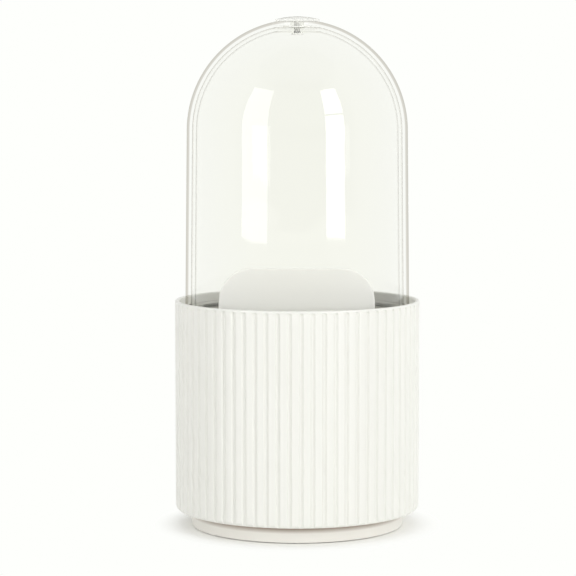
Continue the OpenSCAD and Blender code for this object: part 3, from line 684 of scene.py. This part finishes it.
# seen from below the floor is open and doesn't hide the foot
below = add_node(floor_finish, "NewGeometry").outputs["Backfacing"]
both = add_node(floor_finish, "MixShader", {0: below, 1: both.outputs["Shader"],
                                            2: add_node(floor_finish, "BsdfTransparent").outputs["BSDF"]})
add_node(floor_finish, "OutputMaterial", {"Surface": both.outputs["Shader"]})
floor = piece("floor", floor, floor_finish)

world = bpy.data.worlds.new("white_surround")
world.use_nodes = True
world.node_tree.nodes.clear()
bpy.context.scene.world = world
way = add_node(world, "TexCoord").outputs["Generated"]
way = add_node(world, "SeparateXYZ", {"Vector": way})
# the surround is white behind the object and dimmer in front, where the windows stand
behind = add_node(world, "MapRange", {"Value": way.outputs["Y"], "From Min": -0.75, "From Max": -0.2,
                                      "To Min": 0.5, "To Max": 1.0}, interpolation_type="SMOOTHSTEP")
path = add_node(world, "LightPath")
mirrored = add_node(world, "Math", {0: path.outputs["Is Glossy Ray"],
                                    1: path.outputs["Is Transmission Ray"]}, operation="MAXIMUM")
dim = add_node(world, "Background", {"Color": linear("fcfcf8"), "Strength": 0.43})
around = add_node(world, "Background", {"Color": BACKDROP, "Strength": behind.outputs["Result"]})
white = add_node(world, "Background", {"Color": BACKDROP, "Strength": 1.0})
both = add_node(world, "MixShader", {0: mirrored.outputs[0], 1: dim.outputs["Background"],
                                     2: around.outputs["Background"]})
both = add_node(world, "MixShader", {0: path.outputs["Is Camera Ray"], 1: both.outputs["Shader"],
                                     2: white.outputs["Background"]})
add_node(world, "OutputWorld", {"Surface": both.outputs["Shader"]})


def add_lamp(name, azimuth, distance, low, high, width, radiance):
    """An upright panel of light in metres, at an azimuth in degrees from the object, 0 being -Y
    and 90 being +X."""
    height = high - low
    data = bpy.data.lights.new(name, "AREA")
    data.shape, data.size, data.size_y = "RECTANGLE", width, height
    data.energy = radiance * math.pi * width * height
    lamp = bpy.data.objects.new(name, data)
    turn = math.radians(azimuth)
    lamp.location = (distance * math.sin(turn), -distance * math.cos(turn), (low + high) / 2)
    lamp.rotation_euler = (math.radians(90), 0, turn)
    lamp.visible_camera = False
    bpy.context.scene.collection.objects.link(lamp)
    return lamp


LAMP_FAR, LAMP_LOW, LAMP_HIGH, BAR_LOW, BAR_HIGH = 1.5, 0.08, 1.6, 0.64, 0.69
LEFT_TURN, LEFT_WIDE, RIGHT_TURN, RIGHT_WIDE, RIGHT_RADIANCE = -45.5, 0.78, 42.0, 0.56, 4.3
# the left window lights the object, and a brighter pane just in front shows only in reflections
lit = add_lamp("window_left", LEFT_TURN, LAMP_FAR, LAMP_LOW, LAMP_HIGH, LEFT_WIDE, 1.7)
lit.visible_glossy = False
glint = add_lamp("window_left_glint", LEFT_TURN, LAMP_FAR - 0.01, LAMP_LOW, LAMP_HIGH, LEFT_WIDE, 2.6)
glint.visible_diffuse = False
# the right window, in two panes with a bar between them
add_lamp("window_right_low", RIGHT_TURN, LAMP_FAR, LAMP_LOW, BAR_LOW, RIGHT_WIDE, RIGHT_RADIANCE)
add_lamp("window_right_high", RIGHT_TURN, LAMP_FAR, BAR_HIGH, LAMP_HIGH, RIGHT_WIDE, RIGHT_RADIANCE)
# soft panels that light the object but show in no reflection
for name, azimuth, width, radiance in (("panel_left", -100, 0.5, 1.6), ("panel_front", 0, 0.8, 1.05),
                                       ("panel_right_behind", 120, 0.8, 2.1)):
    add_lamp(name, azimuth, LAMP_FAR, LAMP_LOW, LAMP_HIGH, width, radiance).visible_glossy = False
above = add_lamp("soft_light_above", 0.0, 0.0, 1.3, 2.3, 1.0, 0.65)
above.location, above.rotation_euler = (0.1, -0.1, 1.8), (0, 0, 0)
above.visible_glossy = False


# ---- Camera ----
# A long lens a little over a metre away, level with the upper part of the dome and dipped by
# about 5 degrees. Its focal length and its shift are given in pixels of a square frame.

CAMERA_FAR, CAMERA_HIGH, CAMERA_TURN, CAMERA_DIP = 1.1617, 0.22555, math.radians(0.9), 0.089
FRAME_PX, FOCAL_PX, AXIS_PX, SENSOR = 576, 2278, 297.26, 36.0
camera = bpy.data.objects.new("camera", bpy.data.cameras.new("camera"))
camera.location = (CAMERA_FAR * math.sin(CAMERA_TURN), -CAMERA_FAR * math.cos(CAMERA_TURN), CAMERA_HIGH)
camera.rotation_euler = (math.radians(90) - CAMERA_DIP, 0, CAMERA_TURN)
camera.data.sensor_width = SENSOR
camera.data.lens = FOCAL_PX / FRAME_PX * SENSOR
camera.data.shift_x = -(AXIS_PX - FRAME_PX / 2) / FRAME_PX
camera.data.clip_end = 50
bpy.context.scene.collection.objects.link(camera)
bpy.context.scene.camera = camera
bpy.context.scene.view_settings.view_transform = "Standard"
